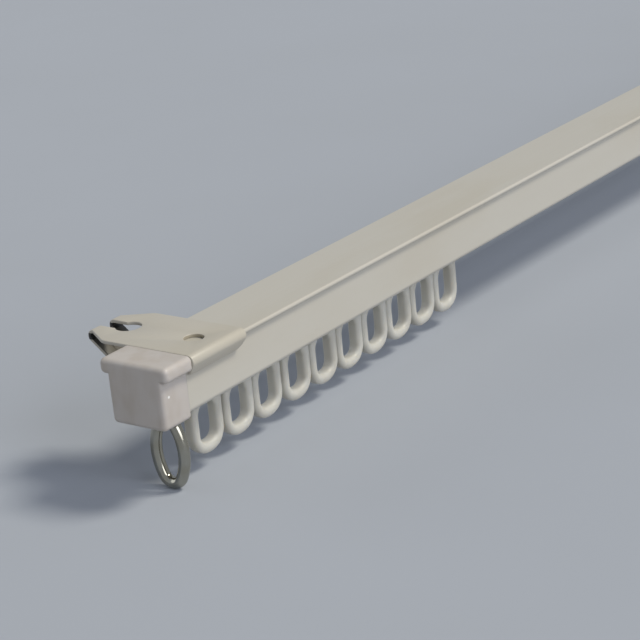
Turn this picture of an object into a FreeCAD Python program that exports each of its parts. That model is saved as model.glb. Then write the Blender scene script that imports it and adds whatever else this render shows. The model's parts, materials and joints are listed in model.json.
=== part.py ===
import FreeCAD, Part
import math
import os

# Square curtain track for a ceiling: a roll-formed rail with moulded end caps,
# screw eyes, folded spring brackets and a pack of runners.
# Millimetres. X runs along the rail, -Y faces the room, +Y the wall, +Z up.
# The origin lies on the ceiling face of the first bracket, over the rail's middle line.

# Rail, a roll-formed steel channel with hemmed flanges and a slot below
rail_length = 600.0
rail_width = 20.0
rail_height = 14.5
rail_sheet = 0.65
rail_overhang = 1.4
rail_slot = 5.0
rail_bend = 1.3
rail_fold = 0.3

# Spring bracket, folded from one strip of sheet
bracket_sheet = 1.0
bracket_length = 21.4
bracket_reach = 27.4
bracket_tip_width = 12.0
bracket_taper = 7.2
bracket_taper_round = 4.0
hook_bend = 1.4
hook_slope = 27.0
hook_room = 0.3
hook_wall_room = 0.35
hook_corner = 3.2
screw_hole = 5.2
screw_hole_forward = 3.0
keyhole = 6.8
keyhole_neck = 4.6
keyhole_from_tip = 8.9
fold_bend = 1.3
leaf_slope = 38.0
leaf_knee_out = 6.9
leaf_knee_bend = 2.0
leaf_slit = 8.5
catch_reach = 0.9
catch_bend = 0.9
catch_rise_out = 2.4
catch_room = 0.15

# End cap, one moulding with a tongue in the channel and a tab under the slot
cap_length = 10.0
cap_above_rail = 0.9
cap_below_rail = 1.6
cap_shoulder = 0.8
cap_shoulder_height = 4.1
cap_round = 1.3
cap_face_edge = 1.0
cap_to_bracket = 0.15
tongue_length = 7.5
tongue_height = 5.8
tongue_room = 0.2
tongue_lead = 1.5
tab_length = 4.4
tab_width = 10.0
tab_corner = 1.8
web_room = 0.3

# Screw eye, bent from round wire
eye_wire = 3.1
eye_flats = 8
eye_width = 12.1
eye_height = 20.1
eye_end_round = 3.25
eye_from_rail_end = 0.4
eye_room_below_cap = 0.3
eye_bore_room = 0.05
eye_shank_in_tongue = 5.0

# Runners, one moulding each: head in the channel, neck, bar and loop
runner_length = 12.2
runner_head_width = 13.0
runner_head_height = 2.6
runner_head_edge = 2.0
runner_neck_length = 8.0
runner_neck_room = 0.3
runner_ride = 0.1
runner_bar_width = 6.2
runner_bar_height = 2.6
runner_bar_gap = 0.4
runner_drop = 17.6
runner_band = 2.55
runner_sole = 3.2
runner_depth = 4.0
runner_edge = 0.95
runner_first_gap = 0.8
runner_gaps = (0.8, 0.1, 0.9, 0.4, 0.2, 0.15, 0.15, 0.15, 0.15)

# Share of a full half round that a rounded end takes, so that its arcs stay apart
half_round = 0.98

# Lengths under this count as nothing when edges are picked out
hair = 1e-6

# Heights and places that follow from the sizes above
rail_top = -bracket_sheet
rail_bottom = rail_top - rail_height
lip_top = rail_bottom + rail_sheet
hem = 2 * rail_sheet
flange_under = rail_top - hem
wall_out = rail_width / 2 - rail_overhang
wall_in = wall_out - rail_sheet
rail_start = -bracket_length / 2 - cap_to_bracket
rail_end = rail_start + rail_length
rail_middle = (rail_start + rail_end) / 2
cap_top = rail_top + cap_above_rail
cap_bottom = rail_bottom - cap_below_rail


def on_yz(x):
    return lambda a, b: FreeCAD.Vector(x, a, b)


def on_xz(y):
    return lambda a, b: FreeCAD.Vector(a, y, b)


def on_xy(z):
    return lambda a, b: FreeCAD.Vector(a, b, z)


def outline(corners, place):
    """Closed wire through (a, b, radius) corners, each radius a tangent arc."""
    turns = []
    for index, (a, b, radius) in enumerate(corners):
        point = place(a, b)
        before = place(*corners[index - 1][:2])
        after = place(*corners[(index + 1) % len(corners)][:2])
        if radius == 0:
            turns.append((point, None, point))
            continue
        back = (before - point).normalize()
        ahead = (after - point).normalize()
        half_angle = back.getAngle(ahead) / 2
        reach = radius / math.tan(half_angle)
        centre = point + (back + ahead).normalize() * (radius / math.sin(half_angle))
        middle = centre + (point - centre).normalize() * radius
        turns.append((point + back * reach, middle, point + ahead * reach))
    edges = []
    for index, (start, middle, end) in enumerate(turns):
        if middle is not None:
            edges.append(Part.Arc(start, middle, end).toShape())
        following = turns[(index + 1) % len(turns)][0]
        if end.distanceToPoint(following) > hair:
            edges.append(Part.LineSegment(end, following).toShape())
    return Part.Wire(edges)


def prism(corners, place, along):
    return Part.Face(outline(corners, place)).extrude(along)


def block(x, y, z):
    """Box from its (low, high) spans along the three axes."""
    size = (x[1] - x[0], y[1] - y[0], z[1] - z[0])
    return Part.makeBox(*size, FreeCAD.Vector(x[0], y[0], z[0]))


def upright(radius, x, y, low, high):
    return Part.makeCylinder(radius, high - low, FreeCAD.Vector(x, y, low))


def bent_strip(path, sheet):
    """Corners of a sheet strip whose middle line runs through (a, b, bend) points."""
    steps = []
    for (a1, b1, _), (a2, b2, _) in zip(path, path[1:]):
        steps.append(FreeCAD.Vector(a2 - a1, b2 - b1, 0).normalize())
    sides = []
    for side in (sheet / 2, -sheet / 2):
        corners = []
        for index, (a, b, bend) in enumerate(path):
            step_in = steps[max(index - 1, 0)]
            step_out = steps[min(index, len(steps) - 1)]
            left_in = FreeCAD.Vector(-step_in.y, step_in.x, 0)
            left_out = FreeCAD.Vector(-step_out.y, step_out.x, 0)
            mitre = (left_in + left_out).normalize()
            shift = mitre * (side / mitre.dot(left_in))
            turns_left = step_in.cross(step_out).z > 0
            radius = bend - side if turns_left else bend + side
            corners.append((a + shift.x, b + shift.y, radius if bend else 0))
        sides.append(corners)
    return sides[0] + sides[1][::-1]


def along_x(length):
    return FreeCAD.Vector(length, 0, 0)


def make_rail():
    """Hemmed flanges, side walls and inturned lips as one section, drawn along the rail."""
    half = rail_width / 2
    round_edge = half_round * hem / 2
    inner_bend = rail_bend - rail_sheet
    front = [
        (-rail_slot / 2, rail_bottom, 0),
        (-wall_out, rail_bottom, rail_bend),
        (-wall_out, flange_under, rail_fold),
        (-half, flange_under, round_edge),
        (-half, rail_top, round_edge),
    ]
    inside = [
        (rail_slot / 2, lip_top, 0),
        (wall_in, lip_top, inner_bend),
        (wall_in, rail_top - rail_sheet, 0),
    ]
    back = [(-y, z, r) for y, z, r in front[::-1]]
    inside_back = [(-y, z, r) for y, z, r in inside[::-1]]
    section = front + back + inside + inside_back
    return prism(section, on_yz(rail_start), along_x(rail_length))


def bracket_paths():
    """Middle lines of the plate with its hook, and of the fold with its spring leaf."""
    half = bracket_sheet / 2
    plate_z = -half
    lean = math.radians(hook_slope)
    hook_start = -rail_width / 2 - hook_room - half + hook_bend
    hook_y = hook_start - hook_bend * math.tan((math.pi / 2 + lean) / 2)
    leg_y = -wall_out - hook_wall_room - half * math.cos(lean)
    leg_z = plate_z - (leg_y - hook_y) / math.tan(lean)
    hook_low = leg_z - half * math.sin(lean)
    fold_start = bracket_reach - fold_bend - half
    slope = math.radians(leaf_slope)
    fold_corner = fold_start + fold_bend * math.tan((math.pi - slope) / 2)
    rise_y = wall_out + catch_rise_out
    knee_y = wall_out + leaf_knee_out
    knee_z = plate_z - (fold_corner - knee_y) * math.tan(slope)
    rear_z = flange_under - catch_room - half
    hook = [
        (leg_y, leg_z, 0),
        (hook_y, plate_z, hook_bend),
        (fold_start, plate_z, 0),
    ]
    leaf = [
        (fold_start, plate_z, 0),
        (fold_corner, plate_z, fold_bend),
        (knee_y, knee_z, leaf_knee_bend),
        (rise_y, rear_z, catch_bend),
        (rail_width / 2 - catch_reach, rear_z, 0),
    ]
    return hook, leaf, fold_start, hook_low


def make_bracket(x):
    """Plate with a hook for the front flange, folded under into a leaf that holds the rear one."""
    hook, leaf, fold_start, hook_low = bracket_paths()
    half = bracket_length / 2
    tip = bracket_tip_width / 2
    front = -rail_width
    plate = prism(bent_strip(hook, bracket_sheet), on_yz(x - half), along_x(bracket_length))
    taper_start = fold_start - bracket_taper
    plan = [
        (x - half, front, 0),
        (x + half, front, 0),
        (x + half, taper_start, bracket_taper_round),
        (x + tip, fold_start, 0),
        (x - tip, fold_start, 0),
        (x - half, taper_start, bracket_taper_round),
    ]
    plate = plate.common(prism(plan, on_xy(-rail_height), FreeCAD.Vector(0, 0, 2 * rail_height)))
    spring = prism(bent_strip(leaf, bracket_sheet), on_yz(x - tip), along_x(bracket_tip_width))
    bracket = plate.fuse(spring).removeSplitter()

    key_y = bracket_reach - keyhole_from_tip
    neck = (x - keyhole_neck / 2, x + keyhole_neck / 2)
    bracket = bracket.cut(upright(keyhole / 2, x, key_y, -bracket_sheet, 0))
    bracket = bracket.cut(block(neck, (key_y, bracket_reach), (-leaf_slit, 0)))
    bracket = bracket.cut(upright(screw_hole / 2, x, -screw_hole_forward, -bracket_sheet, 0))

    # The hook's lower corner is rounded on the side away from the cap
    round_x = x + half - hook_corner
    round_z = hook_low + hook_corner
    trim = block((round_x, x + half), (front, -wall_out), (hook_low, round_z))
    centre = FreeCAD.Vector(round_x, front, round_z)
    trim = trim.cut(Part.makeCylinder(hook_corner, rail_width, centre, FreeCAD.Vector(0, 1, 0)))
    return bracket.cut(trim)


def upright_edges_at(solid, x):
    """Vertical edges of a box at its end on the +X side."""
    boxes = [(edge, edge.BoundBox) for edge in solid.Edges]
    return [edge for edge, box in boxes if box.XMin > x - hair and box.ZLength > hair]


def make_cap():
    """End block of T section with a tongue on the rail's lips and a tab under its slot."""
    face_x = rail_start - cap_length
    shoulder = rail_width / 2 + cap_shoulder
    front = [
        (-wall_out, cap_bottom, cap_round),
        (-wall_out, cap_top - cap_shoulder_height, 0),
        (-shoulder, cap_top - cap_shoulder_height, cap_round),
        (-shoulder, cap_top, cap_round),
    ]
    section = front + [(-y, z, r) for y, z, r in front[::-1]]
    body = prism(section, on_yz(face_x), along_x(cap_length))
    rim = [edge for edge in body.Edges if edge.BoundBox.XMax < face_x + hair]
    body = body.makeChamfer(cap_face_edge, rim)

    tongue_y = wall_in - tongue_room
    tip = rail_start + tongue_length
    tongue = block((rail_start, tip), (-tongue_y, tongue_y), (lip_top, lip_top + tongue_height))
    boxes = [(edge, edge.BoundBox) for edge in tongue.Edges]
    feet = [edge for edge, box in boxes if box.ZMax < lip_top + hair and box.XLength > hair]
    tongue = tongue.makeChamfer(rail_bend - rail_sheet, feet)
    tongue = tongue.makeChamfer(tongue_lead, upright_edges_at(tongue, tip))
    tab_end = rail_start + tab_length
    tab = block((rail_start, tab_end), (-tab_width / 2, tab_width / 2), (cap_bottom, rail_bottom))
    tab = tab.makeChamfer(tab_corner, upright_edges_at(tab, tab_end))
    web_y = rail_slot / 2 - web_room
    web = block((rail_start, tab_end), (-web_y, web_y), (rail_bottom, lip_top))
    bore = upright(eye_wire / 2 + eye_bore_room, rail_start + eye_from_rail_end, 0,
                   cap_bottom, lip_top + tongue_height)
    return body.fuse([tongue, tab, web]).removeSplitter().cut(bore)


def bent_rod(middle, pivot, turn):
    """Wire with fine flats, bent about a pivot by an angle to each side of its middle."""
    corner = eye_wire / 2 / math.cos(math.pi / eye_flats)
    outward = (middle - pivot).normalize()
    sideways = FreeCAD.Vector(1, 0, 0)
    corners = []
    for index in range(eye_flats + 1):
        angle = 2 * math.pi * (index + 0.5) / eye_flats
        spoke = outward * math.cos(angle) + sideways * math.sin(angle)
        corners.append(middle + spoke * corner)
    rod = Part.Face(Part.makePolygon(corners)).revolve(pivot, sideways, 2 * turn)
    rod.rotate(pivot, sideways, -turn)
    return rod


def make_eye():
    """Oval ring of four tangent arcs, with a straight shank up into the cap."""
    x = rail_start + eye_from_rail_end
    wire = eye_wire / 2
    across = eye_width / 2 - wire
    up = eye_height / 2 - wire
    middle_z = cap_bottom - eye_room_below_cap - eye_height / 2
    end_z = up - eye_end_round
    side_round = (across ** 2 + end_z ** 2 - eye_end_round ** 2) / (2 * (across - eye_end_round))
    side_y = side_round - across
    lean = math.degrees(math.atan2(end_z, side_y))
    ring = []
    for hand in (1, -1):
        side = FreeCAD.Vector(x, hand * across, middle_z)
        side_pivot = FreeCAD.Vector(x, -hand * side_y, middle_z)
        end = FreeCAD.Vector(x, 0, middle_z + hand * up)
        end_pivot = FreeCAD.Vector(x, 0, middle_z + hand * end_z)
        ring.append(bent_rod(side, side_pivot, lean))
        ring.append(bent_rod(end, end_pivot, 90 - lean))
    shank = upright(wire, x, 0, middle_z + up, lip_top + eye_shank_in_tongue)
    return shank.fuse(ring).removeSplitter()


def make_runner(x):
    """Head on the rail's lips, neck through the slot, bar under the rail and a closed loop."""
    half = runner_length / 2
    head_low = lip_top + runner_ride
    head_high = head_low + runner_head_height
    bar_high = rail_bottom - runner_bar_gap
    bar_low = bar_high - runner_bar_height
    loop_low = rail_bottom - runner_drop
    leg_high = (bar_low + bar_high) / 2
    window = half - runner_band
    window_low = loop_low + runner_sole
    loop = prism([(x - half, leg_high, 0),
                  (x - half, loop_low, half_round * half),
                  (x + half, loop_low, half_round * half),
                  (x + half, leg_high, 0),
                  (x + window, leg_high, 0),
                  (x + window, window_low, half_round * window),
                  (x - window, window_low, half_round * window),
                  (x - window, leg_high, 0)],
                 on_xz(-runner_depth / 2), FreeCAD.Vector(0, runner_depth, 0))
    outside = half - runner_band / 2
    rims = []
    for edge in loop.Edges:
        box = edge.BoundBox
        reach = max(box.XMax - x, x - box.XMin, window_low - box.ZMin + outside)
        if box.YLength < hair and box.ZMin < leg_high - hair and reach > outside + hair:
            rims.append(edge)
    loop = loop.makeChamfer(runner_edge, rims)

    bar_y = runner_bar_width / 2
    bar = block((x - half, x + half), (-bar_y, bar_y), (bar_low, bar_high))
    neck_y = rail_slot / 2 - runner_neck_room
    neck_x = runner_neck_length / 2
    neck = block((x - neck_x, x + neck_x), (-neck_y, neck_y), (bar_high, head_low))
    head_y = runner_head_width / 2
    head = block((x - half, x + half), (-head_y, head_y), (head_low, head_high))
    head_corners = [edge for edge in head.Edges if edge.BoundBox.ZLength > hair]
    head = head.makeChamfer(runner_head_edge, head_corners)
    return loop.fuse([bar, neck, head]).removeSplitter()


def runner_places():
    """Middle of each runner, packed from the first cap's tongue as in use."""
    x = rail_start + tongue_length + runner_first_gap + runner_length / 2
    places = [x]
    for gap in runner_gaps:
        x += runner_length + gap
        places.append(x)
    return places


def at_far_end(shape):
    """The same piece turned half round about the rail's middle."""
    turned = shape.copy()
    turned.rotate(FreeCAD.Vector(rail_middle, 0, 0), FreeCAD.Vector(0, 0, 1), 180)
    return turned


def main():
    os.makedirs("parts", exist_ok=True)
    nodes = {"rail": make_rail()}
    cap = make_cap()
    eye = make_eye()
    nodes["end_cap_left"] = cap
    nodes["end_cap_right"] = at_far_end(cap)
    nodes["screw_eye_left"] = eye
    nodes["screw_eye_right"] = at_far_end(eye)
    nodes["bracket_left"] = make_bracket(0)
    nodes["bracket_right"] = make_bracket(2 * rail_middle)
    for number, x in enumerate(runner_places(), 1):
        nodes[f"runner_{number:02d}"] = make_runner(x)
    for name, shape in nodes.items():
        shape.Solids[0].exportStep(f"parts/{name}.step")
        print(name, len(shape.Solids), shape.isValid(), round(shape.Volume, 1))


if __name__ == "__main__":
    main()
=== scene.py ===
"""Looks of a square curtain track: enamelled rail and brackets, moulded caps and runners, plated eyes."""

import json
import math

import bmesh
import bpy
from bpy.props import FloatProperty, FloatVectorProperty, IntProperty, PointerProperty
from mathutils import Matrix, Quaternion, Vector

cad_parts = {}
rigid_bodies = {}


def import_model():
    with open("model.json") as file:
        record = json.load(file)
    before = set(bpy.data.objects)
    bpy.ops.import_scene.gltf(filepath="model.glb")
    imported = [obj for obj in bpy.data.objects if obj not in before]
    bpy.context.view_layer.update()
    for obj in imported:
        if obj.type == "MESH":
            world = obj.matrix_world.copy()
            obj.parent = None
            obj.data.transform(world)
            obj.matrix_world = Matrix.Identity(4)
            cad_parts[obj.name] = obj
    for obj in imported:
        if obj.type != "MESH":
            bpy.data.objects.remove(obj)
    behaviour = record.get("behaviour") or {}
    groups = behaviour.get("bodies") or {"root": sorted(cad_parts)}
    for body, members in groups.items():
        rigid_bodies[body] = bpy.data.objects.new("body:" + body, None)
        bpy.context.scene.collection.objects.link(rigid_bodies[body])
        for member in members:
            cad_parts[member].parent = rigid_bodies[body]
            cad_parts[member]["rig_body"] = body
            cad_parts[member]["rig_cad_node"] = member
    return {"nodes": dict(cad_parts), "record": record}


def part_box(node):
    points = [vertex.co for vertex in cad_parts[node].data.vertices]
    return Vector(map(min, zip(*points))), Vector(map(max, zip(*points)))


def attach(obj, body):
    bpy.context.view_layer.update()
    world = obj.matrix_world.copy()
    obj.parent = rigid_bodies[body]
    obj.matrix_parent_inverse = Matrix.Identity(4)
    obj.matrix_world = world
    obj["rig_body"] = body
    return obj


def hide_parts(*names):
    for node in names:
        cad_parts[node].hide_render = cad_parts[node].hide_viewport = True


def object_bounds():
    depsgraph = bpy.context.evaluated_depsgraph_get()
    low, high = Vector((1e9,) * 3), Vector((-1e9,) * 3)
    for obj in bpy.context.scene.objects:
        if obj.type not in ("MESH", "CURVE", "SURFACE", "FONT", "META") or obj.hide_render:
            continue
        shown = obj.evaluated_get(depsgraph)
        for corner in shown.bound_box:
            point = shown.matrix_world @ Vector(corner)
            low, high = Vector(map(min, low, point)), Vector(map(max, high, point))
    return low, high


bl_info = {
    "name": "Curtain Track Looks",
    "version": (1, 0, 0),
    "blender": (4, 5, 0),
    "location": "3D View > Sidebar > Curtain Track",
    "description": "Models and finishes the visible pieces of a square curtain track",
    "category": "Object",
}

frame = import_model()
cad_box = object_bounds()

# Places read from the solids, in metres
RUNNERS = sorted(name for name in frame["nodes"] if name.startswith("runner_"))
RUNNER_LOW, RUNNER_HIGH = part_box(RUNNERS[0])
EYE_LOW, EYE_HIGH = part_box("screw_eye_left")
CAP_LOW, CAP_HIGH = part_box("end_cap_left")
RAIL_LOW, RAIL_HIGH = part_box("rail")
RAIL_MIDDLE = (RAIL_LOW + RAIL_HIGH) / 2
MM = 0.001

# Points nearer than this lie on the same face, or at the same place where TIGHT is used
NEAR = 0.3 * MM
TIGHT = NEAR / 3

# Points nearer than this are doubles, and faces that turn by less than FLAT lie in one plane
WELD = 2e-6
FLAT = math.radians(0.5)

# Share of an edge's or normal's length along an axis, above which it points that way
STRAIGHT = 0.9

# Side of the floor and nearest distance that the camera sees, in metres
FLOOR_SIDE = 30
CAMERA_NEAR = 0.01

# Direction from the part to each lamp, and the lamp's tint
LAMPS = {
    "key": ((0.34, -0.50, 0.80), (1.0, 0.94, 0.81)),
    "fill": ((-0.20, -0.89, 0.40), (0.965, 0.985, 1.06)),
    "back": ((-0.30, 0.92, 0.25), (1.0, 1.0, 1.0)),
}


def srgb(red, green, blue):
    """Display colour of 0 to 255 as the linear colour that shaders take."""
    shares = [value / 255 for value in (red, green, blue)]
    return [s / 12.92 if s <= 0.04045 else ((s + 0.055) / 1.055) ** 2.4 for s in shares]


def length(name, description, millimetres):
    """A size in the sidebar, written in millimetres."""
    return FloatProperty(name=name, description=description, default=millimetres * MM,
                         min=0, subtype="DISTANCE", unit="LENGTH", precision=5)


def colour(name, description, red, green, blue):
    """A colour in the sidebar, written as it shows on screen."""
    return FloatVectorProperty(name=name, description=description, default=srgb(red, green, blue),
                               min=0, max=1, size=3, subtype="COLOR")


def degrees(name, description, value):
    """An angle in the sidebar, written in degrees."""
    return FloatProperty(name=name, description=description, default=math.radians(value),
                         subtype="ANGLE", unit="ROTATION")


def steps(name, description, count, least):
    """A whole number in the sidebar."""
    return IntProperty(name=name, description=description, default=count, min=least)


def strength(name, description, value):
    """The strength of a light in the sidebar."""
    return FloatProperty(name=name, description=description, default=value, min=0)


class RunnerSizes(bpy.types.PropertyGroup):
    """Sizes of one moulded runner that its box doesn't give."""

    band: length("Band", "Thickness of the loop, seen from the front", 2.55)
    depth: length("Depth", "Depth of the loop, from room to wall", 4.0)
    sole: length("Sole", "Added thickness at the bottom of the loop's window", 0.8)
    sole_reach: length("Sole reach", "How far up the window the added thickness fades", 4.4)
    corner: length("Corner", "Rounding of the loop's section", 1.25)
    corner_steps: steps("Corner steps", "Steps round each corner of the loop's section", 8, 1)
    arch: length("Arch", "Height of the round top of the loop's window", 4.0)
    bar_width: length("Bar width", "Width of the bar under the rail", 6.2)
    bar_height: length("Bar height", "Height of the bar under the rail", 2.6)
    bar_gap: length("Bar gap", "Room between the bar and the rail", 0.4)
    bar_inset: length("Bar inset", "How far each end of the bar stays back from the loop's side", 0.06)
    neck_length: length("Neck length", "Length of the neck in the slot", 8.0)
    neck_width: length("Neck width", "Width of the neck in the slot", 4.4)
    head_height: length("Head height", "Height of the head in the channel", 2.6)
    head_corner: length("Head corner", "Cut of the head's upright corners", 2.0)
    edge: length("Edge", "Rounding of the bar's and head's edges", 0.35)
    bend_steps: steps("Bend steps", "Steps round the loop's half circle", 28, 8)


class EyeSizes(bpy.types.PropertyGroup):
    """Sizes of one screw eye that its box doesn't give."""

    wire: length("Wire", "Diameter of the wire", 3.1)
    height: length("Height", "Outer height of the oval ring", 20.1)
    end_round: length("End round", "Radius of the ring's upper and lower bends, to the wire's middle", 3.25)
    tip: length("Tip", "Chamfer at the end of the shank", 0.4)
    wire_sides: steps("Wire sides", "Points round the wire", 28, 8)
    bend_steps: steps("Bend steps", "Steps along each bend", 24, 6)


class CapSizes(bpy.types.PropertyGroup):
    """Sizes of one end cap that its box doesn't give."""

    body_width: length("Body width", "Width of the block below its shoulders", 17.2)
    shoulder_height: length("Shoulder height", "Height of the shoulders, from the top", 4.1)
    round: length("Round", "Rounding of the outer edges", 1.4)
    rail_edge: length("Rail edge", "Rounding of the edges next to the rail", 0.05)
    draft: length("Draft", "How far the end face is drawn in at the bottom", 0.1)
    tongue_width: length("Tongue width", "Width of the tongue in the channel", 15.5)
    tongue_height: length("Tongue height", "Height of the tongue above the rail's lips", 5.8)
    lip: length("Lip", "Thickness of the rail's lips", 0.65)
    lead: length("Lead", "Cut of the tongue's leading corners", 1.5)
    foot: length("Foot", "Cut of the tongue's lower edges, clear of the rail's bends", 0.65)
    tab_length: length("Tab length", "Length of the tab under the slot", 4.4)
    tab_width: length("Tab width", "Width of the tab under the slot", 10.0)
    tab_corner: length("Tab corner", "Cut of the tab's corners", 1.8)
    web_width: length("Web width", "Width of the web in the slot", 4.4)
    bore: length("Bore", "Diameter of the bore for the eye", 3.2)
    # Size and place of the small pale spot on the cap's room side
    pale_spot: length("Pale spot", "Radius of the pale mark on the cap's room side", 0.42)
    pale_spot_back: length("Pale spot back", "From the end face to the pale spot", 2.8)
    pale_spot_down: length("Pale spot down", "From the top to the pale spot", 8.3)


class BracketSizes(bpy.types.PropertyGroup):
    """Sizes of the brackets' edges, fold and slit."""

    edge: length("Edge", "Rounding that the paint gives the cut edges", 0.27)
    edge_angle: degrees("Edge angle", "Edges sharper than this are rounded", 50)
    sheet: length("Sheet", "Thickness of the brackets' sheet", 1.0)
    fold_gap: length("Fold gap", "Room inside the fold at the wall end", 1.7)
    leaf_slope: degrees("Leaf slope", "Slope of the spring leaf under the plate", 38)
    slit_width: length("Slit width", "Width of the slit through the fold", 4.6)
    slit_cut: length("Slit cut", "Depth of the slit before it is closed up", 8.5)
    slit: length("Slit", "Depth of the finished slit, from the ceiling face", 4.4)
    wedge: length("Wedge", "Height of the thin wedge that is closed under the hook's round corner", 0.18)


class FinishColours(bpy.types.PropertyGroup):
    """Colours of the five finishes."""

    enamel: colour("Rail enamel", "Baked enamel of the rail", 203, 200, 191)
    enamel_stain: colour("Rail stain", "Faint warm clouding in the rail's enamel", 197, 192, 179)
    bracket: colour("Bracket enamel", "Creamier enamel of the brackets", 200, 195, 183)
    bracket_stain: colour("Bracket stain", "Warm clouding in the brackets' enamel", 193, 187, 172)
    # Darker, yellower tone on the walls of the holes
    hole_wall_tone: colour("Hole wall tone", "Darker, yellower tone on the walls of the holes", 150, 140, 118)
    # Painted shade: near-black colour for the deep shade inside the brackets' fold and along their leaf
    painted_fold_shade: colour("Painted fold shade", "Painted shade inside the fold, on its cut ends and along the leaf", 38, 37, 36)
    cap: colour("Cap plastic", "Moulded plastic of the caps", 203, 197, 192)
    cap_shade: colour("Cap shade", "Faint flow marks in the caps' plastic", 195, 187, 179)
    # Colour of the small pale spot on each cap's room side
    pale_spot: colour("Pale spot", "Small pale spot on a cap's room side", 255, 254, 250)
    runner: colour("Runner plastic", "Moulded plastic of the runners", 206, 205, 198)
    runner_shade: colour("Runner shade", "Faint flow marks in the runners' plastic", 198, 196, 188)
    plating: colour("Plating", "Bright nickel plating of the eyes", 174, 173, 164)
    plating_shade: colour("Plating shade", "Thin, yellower places in the plating", 152, 145, 124)


class StageSettings(bpy.types.PropertyGroup):
    """Floor, lights and camera."""

    floor: colour("Floor", "Plain pale floor", 180, 187, 199)
    floor_shade: colour("Floor shade", "Colour of the light that the floor throws back", 160, 163, 168)
    sky: colour("Surroundings", "Pale surroundings behind the floor", 166, 171, 178)
    ambient: strength("Ambient", "Strength of the even light all round", 0.47)
    key: strength("Key", "Strength of the soft key light from above", 1.8)
    key_spread: degrees("Key spread", "Angle that the key light fills, which softens its shadows", 17)
    fill: strength("Fill", "Strength of the wide soft light in front", 1.1)
    fill_spread: degrees("Fill spread", "Angle that the fill light fills", 39)
    back: strength("Back", "Strength of the weak light on the wall side", 0.45)
    back_spread: degrees("Back spread", "Angle that the back light fills", 50)
    aim: FloatVectorProperty(name="Aim", description="Point in the middle of the picture",
                             default=(0.0561, 0.0, -0.0152), subtype="XYZ", unit="LENGTH")
    distance: FloatProperty(name="Distance", description="From the camera to the aim",
                            default=0.5705, min=0, subtype="DISTANCE", unit="LENGTH")
    azimuth: degrees("Azimuth", "Direction of view, turned from +Y towards +X", 52.48)
    elevation: degrees("Elevation", "How steeply the camera looks down", 19.74)
    roll: degrees("Roll", "Turn of the picture", -5.42)
    lens: FloatProperty(name="Lens", description="Focal length on a sensor 36 mm wide",
                        default=117.57, min=1, unit="CAMERA")


class Value:
    """Output of a shader node. Arithmetic on it adds Math nodes."""

    def __init__(self, tree, socket):
        self.tree = tree
        self.socket = socket

    def math(self, operation, *values):
        return self.tree.node("ShaderNodeMath", {"operation": operation}, dict(enumerate(values)))

    def __add__(self, other):
        return self.math("ADD", self, other)

    def __sub__(self, other):
        return self.math("SUBTRACT", self, other)

    def __rsub__(self, other):
        return self.math("SUBTRACT", other, self)

    def __mul__(self, other):
        return self.math("MULTIPLY", self, other)

    def __pow__(self, other):
        return self.math("POWER", self, other)

    __radd__ = __add__
    __rmul__ = __mul__

    def below(self, limit):
        return self.math("LESS_THAN", self, limit)

    def near(self, place, reach):
        return self.math("COMPARE", self, place, reach)

    def largest(self, other):
        return self.math("MAXIMUM", self, other)


class ShaderTree:
    """Node tree of a material or a world."""

    def __init__(self, owner):
        owner.use_nodes = True
        self.nodes = owner.node_tree.nodes
        self.links = owner.node_tree.links

    def put(self, socket, value):
        """Links a value to a socket, or sets a number or colour on it."""
        if isinstance(value, Value):
            self.links.new(value.socket, socket)
        elif getattr(socket, "type", "") == "RGBA":
            socket.default_value = (*value, 1.0)[:4]
        else:
            socket.default_value = value

    def node(self, kind, settings=None, inputs=None, output=0):
        """Adds a node, sets it up, fills its inputs and gives one of its outputs."""
        made = self.nodes.new(kind)
        for name, value in (settings or {}).items():
            setattr(made, name, value)
        for name, value in (inputs or {}).items():
            self.put(made.inputs[name], value)
        return Value(self, made.outputs[output])

    def seen(self):
        """1 for what the camera sees, straight, reflected or through glass, and 0 for other light."""
        camera, glossy, glass = [self.node("ShaderNodeLightPath", output=f"Is {ray} Ray")
                                 for ray in ("Camera", "Glossy", "Transmission")]
        return camera.largest(glossy).largest(glass)


class Finish(ShaderTree):
    """A material on the object's own coordinates."""

    def __init__(self, name):
        self.material = bpy.data.materials.new(name)
        super().__init__(self.material)
        self.shader = self.nodes["Principled BSDF"]
        self.place = self.node("ShaderNodeTexCoord", output="Object")

    def noise(self, grain_mm, detail=2.0, stretch=(1, 1, 1)):
        """Soft noise with grains of a size in millimetres, drawn out by a share along each axis."""
        scale = [1 / (grain_mm * MM * share) for share in stretch]
        place = self.node("ShaderNodeMapping", None, {"Vector": self.place, "Scale": scale})
        return self.node("ShaderNodeTexNoise", None,
                         {"Vector": place, "Scale": 1.0, "Detail": detail, "Roughness": 0.55})

    def ramp(self, value, low, high):
        """Value brought from a range to 0 to 1, with soft ends."""
        return self.node("ShaderNodeMapRange", {"interpolation_type": "SMOOTHSTEP"},
                         {"Value": value, "From Min": low, "From Max": high})

    def blend(self, share, first, second):
        """Colour between two colours."""
        return self.node("ShaderNodeMix", {"data_type": "RGBA"}, {0: share, 6: first, 7: second}, 2)

    def along(self, axis):
        """One coordinate of the object."""
        return self.node("ShaderNodeSeparateXYZ", None, {"Vector": self.place}, axis)

    def measure(self, operation, vector):
        """Distance of the object's coordinates from a point, or their dot product with a direction."""
        return self.node("ShaderNodeVectorMath", {"operation": operation},
                         {0: self.place, 1: vector}, "Value")

    def bump(self, height, depth_mm):
        """Normal of a surface with hills of a depth in millimetres."""
        return self.node("ShaderNodeBump", None,
                         {"Strength": 1.0, "Distance": depth_mm * MM, "Height": height})

    def set(self, **inputs):
        """Fills the shader's sockets, named with spaces as underscores."""
        for name, value in inputs.items():
            self.put(self.shader.inputs[name.replace("_", " ")], value)
        return self.material


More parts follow.
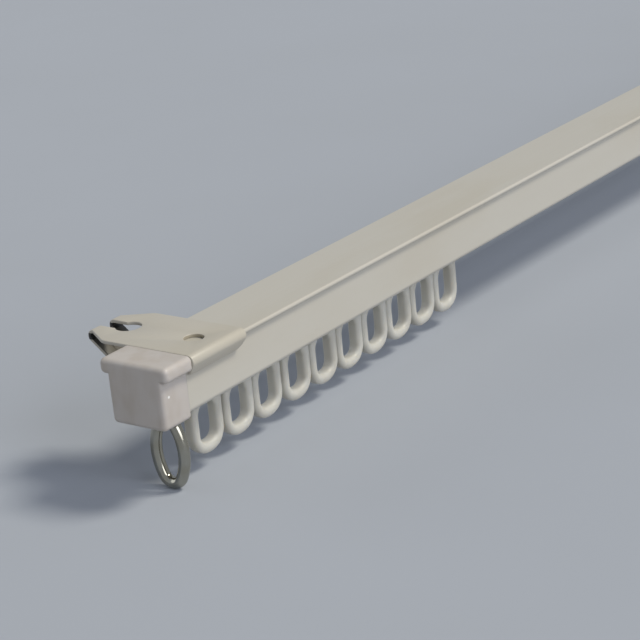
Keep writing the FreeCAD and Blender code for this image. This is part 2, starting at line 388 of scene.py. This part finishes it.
def enamel(name, base, stain, roll_marks=1.0):
    """Baked enamel on sheet steel: faint clouds, orange peel and marks drawn out along the rail."""
    finish = Finish(name)
    cloud = finish.ramp(finish.noise(grain_mm=26, detail=3, stretch=(3, 1, 1)), low=0.42, high=0.72)
    drawn = finish.noise(grain_mm=0.9, detail=2, stretch=(160, 1, 1))
    peel = finish.noise(grain_mm=0.75, detail=1)
    speck = finish.ramp(finish.noise(grain_mm=1.6, detail=1), low=0.70, high=0.78)
    tone = finish.blend(cloud * 0.65 + drawn * 0.18 * roll_marks + speck * 0.2, base, stain)
    rough = 0.36 + cloud * 0.06 + (peel - 0.5) * 0.08 + (drawn - 0.5) * 0.1 * roll_marks
    hills = peel + drawn * 0.5 * roll_marks
    normal = finish.bump(hills, depth_mm=0.006)
    finish.set(Roughness=rough, Normal=normal, Coat_Weight=0.12, Coat_Roughness=0.25)
    return finish, tone


def rail_enamel(colours):
    """Enamel of the rail."""
    finish, tone = enamel("rail_enamel", colours.enamel, colours.enamel_stain)
    return finish.set(Base_Color=tone)


def bracket_enamel(colours, sizes, hole_places, hole_radius, tip_y):
    """Creamier enamel of the brackets, darker and yellower on the walls of the holes, with painted shade
    inside the fold and along the leaf.
    """
    finish, tone = enamel("bracket_enamel", colours.bracket, colours.bracket_stain, roll_marks=0.0)
    x = finish.along("X")
    y = finish.along("Y")
    z = finish.along("Z")
    walls = None
    for hole_x, hole_y in hole_places:
        across = (x - hole_x) ** 2 + (y - hole_y) ** 2
        inside = across.below(hole_radius ** 2)
        walls = inside if walls is None else walls.largest(inside)
    # The walls of the holes take a darker, yellower tone
    wall_share = 0.7
    tone = finish.blend(walls * wall_share, tone, colours.hole_wall_tone)

    # Painted shade inside the fold and on its cut ends; distances run from the fold's middle towards the
    # rail
    fold_shade_start = 3.2 * MM
    fold_shade_full = 0.6 * MM
    half = sizes.fold_gap / 2
    fold = Vector((0, tip_y - sizes.sheet - half, -sizes.sheet - half))
    depth = finish.ramp(y, fold.y - fold_shade_start, fold.y - fold_shade_full)
    fold_shade = depth * z.near(fold.z, half) * y.below(tip_y - sizes.edge)

    # Painted shade along the upper side of the leaf, darkest next to the fold
    leaf_middle = 5 * MM
    leaf_reach = 5.4 * MM
    plate_skin = 0.05 * MM
    leaf_skin = 0.07 * MM
    leaf_shade_start = 2.2 * MM
    leaf_shade_full = 0.8 * MM
    leaf_shade_share = 0.68
    leaf_shade_extra = 0.2
    upward = Vector((0, -math.sin(sizes.leaf_slope), math.cos(sizes.leaf_slope)))
    above = finish.measure("DOT_PRODUCT", upward)
    leaf = y.near(fold.y - leaf_middle, leaf_reach) * z.below(-sizes.sheet - plate_skin)
    leaf = leaf * (1 - above.below(fold.dot(upward) - half - leaf_skin))
    # Painted shade on the leaf, held in thin, deepest next to the fold
    thin = leaf * (leaf_shade_share + leaf_shade_extra * finish.ramp(y, fold.y - leaf_shade_start, fold.y - leaf_shade_full))
    # The enamel takes the painted shade of the fold and of the leaf
    return finish.set(Base_Color=finish.blend(fold_shade.largest(thin), tone, colours.painted_fold_shade))


def moulding(name, base, shade, gloss, glow, reach):
    """Moulded plastic: faint flow marks, a fine skin, and light that spreads inside it as far as reach."""
    finish = Finish(name)
    flow = finish.ramp(finish.noise(grain_mm=7, detail=2, stretch=(1, 1, 1.8)), low=0.38, high=0.7)
    skin = finish.noise(grain_mm=0.5, detail=2)
    ripple = finish.noise(grain_mm=3.2, detail=1)
    tone = finish.blend(flow, base, shade)
    rough = gloss + flow * 0.05 + (skin - 0.5) * 0.12
    normal = finish.bump(skin * 0.35 + ripple, depth_mm=0.012)
    finish.set(Roughness=rough, Normal=normal, IOR=1.49,
               Subsurface_Weight=glow, Subsurface_Scale=reach, Subsurface_Radius=(1.0, 0.95, 0.85))
    return finish, tone


def runner_plastic(colours):
    """Glossy plastic of the runners."""
    finish, tone = moulding("runner_plastic", colours.runner, colours.runner_shade,
                            gloss=0.36, glow=0.9, reach=2.5 * MM)
    return finish.set(Base_Color=tone)


def cap_plastic(colours, pale_spot, radius):
    """Softer plastic of the caps, with a small pale spot on the room side."""
    finish, tone = moulding("cap_plastic", colours.cap, colours.cap_shade,
                            gloss=0.34, glow=0.25, reach=0.8 * MM)
    mark = 1 - finish.ramp(finish.measure("DISTANCE", pale_spot), low=radius * 0.7, high=radius)
    return finish.set(Base_Color=finish.blend(mark, tone, colours.pale_spot))


def nickel_plating(colours):
    """Bright plating on drawn wire, yellower where it is thin."""
    finish = Finish("nickel_plating")
    thin = finish.ramp(finish.noise(grain_mm=6, detail=2), low=0.35, high=0.75)
    drawn = finish.noise(grain_mm=0.35, detail=2, stretch=(1, 1, 6))
    tone = finish.blend(thin * 0.5 + drawn * 0.2, colours.plating, colours.plating_shade)
    rough = 0.1 + thin * 0.06 + drawn * 0.06
    normal = finish.bump(drawn, depth_mm=0.002)
    return finish.set(Base_Color=tone, Metallic=1.0, Roughness=rough, Normal=normal)


def pick(piece):
    """Makes one object the only selected and active one."""
    bpy.ops.object.select_all(action="DESELECT")
    piece.select_set(True)
    bpy.context.view_layer.objects.active = piece


def fix_place(name):
    """Names the new object and puts its place into its mesh."""
    piece = bpy.context.object
    piece.name = name
    bpy.ops.object.transform_apply(location=True, rotation=True, scale=True)
    return piece


def add_block(name, low, high):
    """Cube brought to the box between two corners."""
    low = Vector(low)
    high = Vector(high)
    bpy.ops.object.select_all(action="DESELECT")
    bpy.ops.mesh.primitive_cube_add(size=1, location=(low + high) / 2, scale=high - low)
    return fix_place(name)


def add_rod(name, radius, sides, low, high):
    """Upright cylinder between two points."""
    low = Vector(low)
    high = Vector(high)
    bpy.ops.object.select_all(action="DESELECT")
    bpy.ops.mesh.primitive_cylinder_add(vertices=sides, radius=radius, depth=high.z - low.z,
                                        location=(low + high) / 2)
    return fix_place(name)


def choose(piece, kind, test):
    """Selects, in edit mode, the vertices, edges or faces that pass a test."""
    bpy.ops.mesh.select_mode(type=kind)
    bpy.ops.mesh.select_all(action="DESELECT")
    mesh = bmesh.from_edit_mesh(piece.data)
    items = {"VERT": mesh.verts, "EDGE": mesh.edges, "FACE": mesh.faces}[kind]
    found = [item for item in items if test(item)]
    if not found:
        raise RuntimeError(f"{piece.name}: nothing to select")
    for item in found:
        item.select_set(True)
    mesh.select_flush_mode()
    bmesh.update_edit_mesh(piece.data)


def round_edges(piece, radius, segments, test):
    """Bevels the edges that pass a test."""
    pick(piece)
    bpy.ops.object.mode_set(mode="EDIT")
    choose(piece, "EDGE", test)
    bpy.ops.mesh.bevel(offset=radius, offset_type="OFFSET", segments=segments, profile=0.5,
                       affect="EDGES")
    bpy.ops.object.mode_set(mode="OBJECT")


def runs_along(edge, axis):
    """True for an edge that runs along an axis."""
    step = edge.verts[0].co - edge.verts[1].co
    return abs(step[axis]) > STRAIGHT * step.length


def upright_edge(edge):
    """True for an edge that runs up and down."""
    return runs_along(edge, 2)


def level_edge(edge):
    """True for an edge that runs along the rail."""
    return runs_along(edge, 0)


def modify(piece, kind, **settings):
    """Adds a modifier, sets it up and applies it."""
    pick(piece)
    modifier = piece.modifiers.new(kind, kind)
    for name, value in settings.items():
        setattr(modifier, name, value)
    bpy.ops.object.modifier_apply(modifier=modifier.name)


def combine(piece, other, operation="UNION"):
    """Joins another solid to a piece, or cuts it out."""
    modify(piece, "BOOLEAN", object=other, operation=operation, solver="EXACT")
    bpy.data.objects.remove(other)


def clean(piece, smooth_angle=35):
    """Merges doubles, turns all faces outwards and smooths the shading up to an angle."""
    pick(piece)
    bpy.ops.object.mode_set(mode="EDIT")
    bpy.ops.mesh.select_all(action="SELECT")
    bpy.ops.mesh.remove_doubles(threshold=WELD)
    bpy.ops.mesh.normals_make_consistent(inside=False)
    bpy.ops.object.mode_set(mode="OBJECT")
    bpy.ops.object.shade_smooth_by_angle(angle=math.radians(smooth_angle))


def copy_of(piece, name):
    """Copy of a piece with its own mesh, left selected."""
    pick(piece)
    bpy.ops.object.duplicate(linked=False)
    twin = bpy.context.object
    twin.name = name
    return twin


def far_copy(piece, name):
    """Copy turned half round about the rail's middle."""
    copy_of(piece, name)
    bpy.ops.transform.rotate(value=math.pi, orient_axis="Z", center_override=RAIL_MIDDLE)
    return fix_place(name)


def close_wedge(sheet, height):
    """Welds the thin wedge under the hook's round corner shut, to give its edges room to be rounded."""
    mesh = bmesh.from_edit_mesh(sheet.data)
    hook = [vert for vert in mesh.verts if vert.co.y < RAIL_LOW.y + 2 * NEAR]
    lowest = min((vert.co.copy() for vert in hook), key=lambda point: point.z)
    rim = [vert for vert in hook if vert.co.z < lowest.z + height]
    outer = [vert for vert in rim if vert.co.y < lowest.y + WELD]
    welds = {}
    for vert in rim:
        if vert not in outer:
            welds[vert] = min(outer, key=lambda other: (other.co - vert.co).length)
    bmesh.ops.weld_verts(mesh, targetmap=welds)
    bmesh.update_edit_mesh(sheet.data)


def hand_over(piece, node, body, material):
    """Gives a piece its finish and its body, and hides the node that it stands for."""
    piece.data.materials.clear()
    piece.data.materials.append(material)
    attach(piece, body)
    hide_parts(node)


class TRACK_OT_rail(bpy.types.Operator):
    """Enamels the rail"""

    bl_idname = "track.rail"
    bl_label = "Finish rail"

    def execute(self, context):
        rail = frame["nodes"]["rail"]
        rail.data.materials.clear()
        rail.data.materials.append(rail_enamel(context.scene.track_colours))
        return {"FINISHED"}


class TRACK_OT_brackets(bpy.types.Operator):
    """Rounds the cut edges of the folded brackets and enamels them"""

    bl_idname = "track.brackets"
    bl_label = "Finish brackets"

    def execute(self, context):
        sizes = context.scene.track_bracket
        mounts = {mount["name"]: mount for mount in frame["record"]["mounts"]}
        holes = [mounts["screw_hole_left"], mounts["screw_hole_right"]]
        hole_places = [hole["pos_m"][:2] for hole in holes]

        # The wall of a hole takes in the start of its rounded rim
        hole_radius = holes[0]["dims"]["r_mm"] * MM + sizes.edge / 4
        tip_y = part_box("bracket_left")[1].y
        material = bracket_enamel(context.scene.track_colours, sizes, hole_places, hole_radius, tip_y)
        for end in ("left", "right"):
            node = f"bracket_{end}"
            low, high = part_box(node)
            middle_x = (low.x + high.x) / 2
            sheet = copy_of(frame["nodes"][node], f"{node}_sheet")

            # The copy is a piece of its own, so it drops the solid's marks
            sheet.parent = None
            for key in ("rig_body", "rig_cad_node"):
                del sheet[key]
            bpy.ops.object.mode_set(mode="EDIT")
            bpy.ops.mesh.select_all(action="SELECT")
            bpy.ops.mesh.customdata_custom_splitnormals_clear()
            bpy.ops.mesh.remove_doubles(threshold=WELD)
            bpy.ops.mesh.dissolve_limited(angle_limit=FLAT)
            close_wedge(sheet, sizes.wedge)

            # The slit's end slides up the leaf, to close under the fold
            choose(sheet, "VERT", lambda vert: abs(vert.co.z + sizes.slit_cut) < TIGHT
                   and abs(abs(vert.co.x - middle_x) - sizes.slit_width / 2) < TIGHT)
            rise = sizes.slit_cut - sizes.slit
            bpy.ops.transform.translate(value=(0, rise / math.tan(sizes.leaf_slope), rise))
            bpy.ops.object.mode_set(mode="OBJECT")
            modify(sheet, "BEVEL", width=sizes.edge, segments=3, limit_method="ANGLE",
                   angle_limit=sizes.edge_angle, use_clamp_overlap=False)
            clean(sheet)
            hand_over(sheet, node, "track", material)
        return {"FINISHED"}


class TRACK_OT_caps(bpy.types.Operator):
    """Models the moulded end caps"""

    bl_idname = "track.caps"
    bl_label = "Model end caps"

    def execute(self, context):
        sizes = context.scene.track_cap
        rail_x = RAIL_LOW.x
        half = sizes.body_width / 2
        shoulder_z = CAP_HIGH.z - sizes.shoulder_height

        # The end face keeps a little inside the box, because its rounded edges bulge
        face_x = CAP_LOW.x + sizes.draft / 8
        cap = add_block("end_cap_left_moulding", (face_x, -half, CAP_LOW.z), (rail_x, half, CAP_HIGH.z))

        # Shoulders along both upper sides
        bpy.ops.object.mode_set(mode="EDIT")
        bpy.ops.mesh.select_all(action="SELECT")
        bpy.ops.mesh.bisect(plane_co=(0, 0, shoulder_z), plane_no=(0, 0, 1))
        reach = CAP_HIGH.y - half
        for side in (1, -1):
            choose(cap, "FACE", lambda face: face.normal.y * side > STRAIGHT
                   and face.calc_center_median().z > shoulder_z)
            bpy.ops.mesh.extrude_region_move(TRANSFORM_OT_translate={"value": (0, side * reach, 0)})

        # The end face is drawn in at the bottom, as moulded blocks are
        choose(cap, "VERT", lambda vert: vert.co.z < CAP_LOW.z + NEAR
               and vert.co.x < CAP_LOW.x + NEAR)
        bpy.ops.transform.translate(value=(sizes.draft, 0, 0))
        bpy.ops.object.mode_set(mode="OBJECT")

        def on_rail_face(edge):
            return all(vert.co.x > rail_x - NEAR for vert in edge.verts)

        def convex(edge):
            least_turn = 0.5
            return edge.is_manifold and edge.calc_face_angle_signed() > least_turn

        def leading(edge):
            return upright_edge(edge) and edge.verts[0].co.x > rail_x

        round_edges(cap, sizes.round, segments=6, test=lambda edge: convex(edge) and not on_rail_face(edge))
        round_edges(cap, sizes.rail_edge, segments=2, test=lambda edge: convex(edge) and on_rail_face(edge))

        # Tongue on the lips, tab under the slot and the web between them
        lip_top = RAIL_LOW.z + sizes.lip
        tongue_top = lip_top + sizes.tongue_height
        root = rail_x - sizes.round
        tongue_y = sizes.tongue_width / 2
        tongue = add_block("tongue", (root, -tongue_y, lip_top), (CAP_HIGH.x, tongue_y, tongue_top))

        def lower_side(edge):
            point = edge.verts[0].co
            return level_edge(edge) and point.z < lip_top + NEAR and abs(point.y) > tongue_y - NEAR

        round_edges(tongue, sizes.lead, segments=1, test=leading)
        round_edges(tongue, sizes.foot, segments=1, test=lower_side)
        tab_y = sizes.tab_width / 2
        tab_x = rail_x + sizes.tab_length
        tab = add_block("tab", (root, -tab_y, CAP_LOW.z), (tab_x, tab_y, RAIL_LOW.z))
        round_edges(tab, sizes.tab_corner, segments=4, test=leading)
        web_y = sizes.web_width / 2
        web = add_block("web", (root, -web_y, RAIL_LOW.z - NEAR),
                        (tab_x - sizes.rail_edge, web_y, lip_top + NEAR))
        for part in (tongue, tab, web):
            combine(cap, part)
        eye_x = (EYE_LOW.x + EYE_HIGH.x) / 2
        bore = add_rod("bore", radius=sizes.bore / 2, sides=40, low=(eye_x, 0, CAP_LOW.z - sizes.round),
                       high=(eye_x, 0, tongue_top + sizes.round))
        combine(cap, bore, "DIFFERENCE")
        clean(cap)
        pale_spot = Vector((CAP_LOW.x + sizes.pale_spot_back, -half, CAP_HIGH.z - sizes.pale_spot_down))
        material = cap_plastic(context.scene.track_colours, pale_spot, sizes.pale_spot)
        twin = far_copy(cap, "end_cap_right_moulding")
        hand_over(cap, "end_cap_left", "track", material)
        hand_over(twin, "end_cap_right", "track", material)
        return {"FINISHED"}


class TRACK_OT_eyes(bpy.types.Operator):
    """Bends the screw eyes from round wire"""

    bl_idname = "track.eyes"
    bl_label = "Model screw eyes"

    def execute(self, context):
        sizes = context.scene.track_eye
        radius = sizes.wire / 2
        x = (EYE_LOW.x + EYE_HIGH.x) / 2
        across = EYE_HIGH.y - radius
        up = sizes.height / 2 - radius
        middle = Vector((x, 0, EYE_LOW.z + sizes.height / 2))
        end_z = up - sizes.end_round
        side_round = (across ** 2 + end_z ** 2 - sizes.end_round ** 2) / (2 * (across - sizes.end_round))
        side_y = side_round - across
        lean = math.atan2(end_z, side_y)

        # The wire's section at the lowest point, bent round four arcs until it closes
        bpy.ops.object.select_all(action="DESELECT")
        bpy.ops.mesh.primitive_circle_add(vertices=sizes.wire_sides, radius=radius,
                                          location=middle - Vector((0, 0, up)),
                                          rotation=(0, math.pi / 2, math.pi / 2))
        eye = fix_place("screw_eye_left_wire")
        bpy.ops.object.mode_set(mode="EDIT")
        bpy.ops.mesh.select_all(action="SELECT")
        end_turn = math.pi / 2 - lean
        turns = [
            (end_turn, Vector((0, 0, -end_z))),
            (2 * lean, Vector((0, -side_y, 0))),
            (2 * end_turn, Vector((0, 0, end_z))),
            (2 * lean, Vector((0, side_y, 0))),
            (end_turn, Vector((0, 0, -end_z))),
        ]
        for angle, pivot in turns:
            bpy.ops.mesh.spin(steps=sizes.bend_steps, angle=angle, center=middle + pivot, axis=(-1, 0, 0))
        bpy.ops.object.mode_set(mode="OBJECT")
        clean(eye)

        # Straight shank up into the cap
        shank = add_rod("shank", radius, sizes.wire_sides, middle + Vector((0, 0, up)), (x, 0, EYE_HIGH.z))
        tip_low = EYE_HIGH.z - sizes.tip
        round_edges(shank, sizes.tip, segments=1,
                    test=lambda edge: all(vert.co.z > tip_low for vert in edge.verts))
        combine(eye, shank)
        clean(eye)
        material = nickel_plating(context.scene.track_colours)
        twin = far_copy(eye, "screw_eye_right_wire")
        hand_over(eye, "screw_eye_left", "eye_left", material)
        hand_over(twin, "screw_eye_right", "eye_right", material)
        return {"FINISHED"}


class TRACK_OT_runners(bpy.types.Operator):
    """Models one moulded runner and copies it along the rail"""

    bl_idname = "track.runners"
    bl_label = "Model runners"

    def execute(self, context):
        sizes = context.scene.track_runner
        middle = (RUNNER_LOW + RUNNER_HIGH) / 2
        half = (RUNNER_HIGH.x - RUNNER_LOW.x) / 2
        leg = half - sizes.band / 2
        bend_z = RUNNER_LOW.z + half
        bar_high = RAIL_LOW.z - sizes.bar_gap
        bar_low = bar_high - sizes.bar_height
        leg_high = (bar_low + bar_high) / 2

        # Rounded section at the top of one leg, drawn down, round the bend and up again
        bpy.ops.object.select_all(action="DESELECT")
        bpy.ops.mesh.primitive_plane_add(size=1, location=(middle.x + leg, 0, leg_high))
        bpy.context.object.scale = (sizes.band, sizes.depth, 1)
        runner = fix_place("runner_01_moulding")
        bpy.ops.object.mode_set(mode="EDIT")
        bpy.ops.mesh.select_all(action="SELECT")
        bpy.ops.mesh.bevel(offset=sizes.corner, segments=sizes.corner_steps, profile=0.5,
                           affect="VERTICES")
        bpy.ops.mesh.select_all(action="SELECT")
        bpy.ops.mesh.extrude_region_move(TRANSFORM_OT_translate={"value": (0, 0, bend_z - leg_high)})
        bpy.ops.mesh.spin(steps=sizes.bend_steps, angle=math.pi, center=(middle.x, 0, bend_z),
                          axis=(0, -1, 0))
        bpy.ops.mesh.extrude_region_move(TRANSFORM_OT_translate={"value": (0, 0, leg_high - bend_z)})

        # The loop's sole is thicker, where the hooks wear
        window_z = RUNNER_LOW.z + sizes.band
        choose(runner, "VERT", lambda vert: abs(vert.co.x - middle.x) < NEAR
               and abs(vert.co.z - window_z) < TIGHT)
        bpy.ops.transform.translate(value=(0, 0, sizes.sole), use_proportional_edit=True,
                                    use_proportional_connected=True, proportional_edit_falloff="SMOOTH",
                                    proportional_size=sizes.sole_reach)
        bpy.ops.object.mode_set(mode="OBJECT")
        clean(runner)

        # Bar under the rail, neck in the slot and head in the channel
        bar_x = half - sizes.bar_inset
        bar_y = sizes.bar_width / 2
        bar = add_block("bar", (middle.x - bar_x, -bar_y, bar_low), (middle.x + bar_x, bar_y, bar_high))
        round_edges(bar, sizes.edge, segments=3, test=lambda edge: True)
        head_low = RUNNER_HIGH.z - sizes.head_height
        neck_x = sizes.neck_length / 2
        neck_y = sizes.neck_width / 2
        neck = add_block("neck", (middle.x - neck_x, -neck_y, bar_high - sizes.edge),
                         (middle.x + neck_x, neck_y, head_low + sizes.edge))
        round_edges(neck, sizes.edge, segments=3, test=upright_edge)
        head_y = RUNNER_HIGH.y
        head = add_block("head", (RUNNER_LOW.x, -head_y, head_low), (RUNNER_HIGH.x, head_y, RUNNER_HIGH.z))
        round_edges(head, sizes.head_corner, segments=4, test=upright_edge)
        round_edges(head, sizes.edge, segments=2, test=lambda edge: not upright_edge(edge))

        # Round top of the window: its sides overlap the legs, and its faces stay just inside theirs
        overlap = NEAR / 5
        inset = NEAR / 15
        window = half - sizes.band + overlap
        arch_z = bar_low - sizes.arch
        front = sizes.depth / 2 - inset
        root = leg + NEAR / 2
        arch = add_block("arch", (middle.x - root, -front, arch_z),
                         (middle.x + root, front, bar_high - sizes.edge))
        bpy.ops.object.select_all(action="DESELECT")
        bpy.ops.mesh.primitive_cylinder_add(vertices=4 * sizes.bend_steps, radius=window,
                                            depth=2 * sizes.depth, location=(middle.x, 0, arch_z),
                                            rotation=(math.pi / 2, 0, 0), scale=(1, sizes.arch / window, 1))
        combine(arch, fix_place("arch_cut"), "DIFFERENCE")

        def on_rim(vert):
            slack = 0.01
            out = math.hypot((vert.co.x - middle.x) / window, (vert.co.z - arch_z) / sizes.arch)
            return abs(out - 1) < slack and abs(vert.co.y) > front - inset

        def rim_edge(edge):
            first, second = edge.verts
            return on_rim(first) and on_rim(second) and abs(first.co.y - second.co.y) < NEAR

        round_edges(arch, sizes.corner, segments=sizes.corner_steps, test=rim_edge)
        for part in (arch, bar, neck, head):
            combine(runner, part)
        clean(runner)
        material = runner_plastic(context.scene.track_colours)
        for node in RUNNERS[1:]:
            copy_of(runner, f"{node}_moulding")
            bpy.ops.transform.translate(value=(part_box(node)[0].x - RUNNER_LOW.x, 0, 0))
            twin = fix_place(f"{node}_moulding")
            hand_over(twin, node, node, material)
        hand_over(runner, RUNNERS[0], RUNNERS[0], material)
        return {"FINISHED"}


class TRACK_OT_stage(bpy.types.Operator):
    """Sets the pale floor, the soft lights and the camera"""

    bl_idname = "track.stage"
    bl_label = "Set stage"

    def execute(self, context):
        stage = context.scene.track_stage
        bpy.ops.object.select_all(action="DESELECT")
        bpy.ops.mesh.primitive_plane_add(size=FLOOR_SIDE, location=(RAIL_MIDDLE.x, 0, cad_box[0].z))
        floor = fix_place("floor")
        finish = Finish("pale_floor")
        pale = finish.blend(finish.noise(grain_mm=90, detail=2) * 0.25, stage.floor, stage.sky)
        tone = finish.blend(finish.seen(), stage.floor_shade, pale)
        floor.data.materials.append(finish.set(Base_Color=tone, Roughness=0.85))

        world = bpy.data.worlds.new("pale_surroundings")
        context.scene.world = world
        tree = ShaderTree(world)
        background = tree.nodes["Background"]
        tree.put(background.inputs["Color"], stage.sky)
        tree.put(background.inputs["Strength"], tree.seen() * (1 - stage.ambient) + stage.ambient)

        for name, (towards, tint) in LAMPS.items():
            spot = Vector(towards).normalized()
            bpy.ops.object.light_add(type="SUN", location=Vector(stage.aim) + spot)
            lamp = context.object
            lamp.name = f"{name}_light"
            lamp.data.energy = getattr(stage, name)
            lamp.data.angle = getattr(stage, f"{name}_spread")
            lamp.data.color = tint
            lamp.rotation_mode = "QUATERNION"
            lamp.rotation_quaternion = (-spot).to_track_quat("-Z", "Y")

        level = math.cos(stage.elevation)
        ahead = Vector((math.sin(stage.azimuth) * level, math.cos(stage.azimuth) * level,
                        -math.sin(stage.elevation)))
        bpy.ops.object.camera_add(location=Vector(stage.aim) - ahead * stage.distance)
        camera = context.object
        camera.rotation_mode = "QUATERNION"
        camera.rotation_quaternion = ahead.to_track_quat("-Z", "Y") @ Quaternion((0, 0, 1), stage.roll)
        camera.data.lens = stage.lens
        camera.data.clip_start = CAMERA_NEAR
        context.scene.camera = camera
        context.scene.view_settings.view_transform = "Standard"
        return {"FINISHED"}


STEPS = (TRACK_OT_rail, TRACK_OT_brackets, TRACK_OT_caps, TRACK_OT_eyes, TRACK_OT_runners, TRACK_OT_stage)

GROUPS = {
    "track_runner": RunnerSizes,
    "track_eye": EyeSizes,
    "track_cap": CapSizes,
    "track_bracket": BracketSizes,
    "track_colours": FinishColours,
    "track_stage": StageSettings,
}


class TRACK_PT_sidebar(bpy.types.Panel):
    """Sizes, colours and steps of the curtain track"""

    bl_idname = "TRACK_PT_sidebar"
    bl_label = "Curtain Track"
    bl_space_type = "VIEW_3D"
    bl_region_type = "UI"
    bl_category = "Curtain Track"

    def draw(self, context):
        for step in STEPS:
            self.layout.operator(step.bl_idname)
        for name, group in GROUPS.items():
            box = self.layout.box()
            box.label(text=group.__doc__)
            for size in group.__annotations__:
                box.prop(getattr(context.scene, name), size)


def register():
    for group in GROUPS.values():
        bpy.utils.register_class(group)
    for name, group in GROUPS.items():
        setattr(bpy.types.Scene, name, PointerProperty(type=group))
    for made in (*STEPS, TRACK_PT_sidebar):
        bpy.utils.register_class(made)


def unregister():
    for made in (TRACK_PT_sidebar, *reversed(STEPS)):
        bpy.utils.unregister_class(made)
    for name in GROUPS:
        delattr(bpy.types.Scene, name)
    for group in reversed(list(GROUPS.values())):
        bpy.utils.unregister_class(group)


def main():
    register()
    bpy.ops.track.rail()
    bpy.ops.track.brackets()
    bpy.ops.track.caps()
    bpy.ops.track.eyes()
    bpy.ops.track.runners()
    bpy.ops.track.stage()


if __name__ == "__main__":
    main()
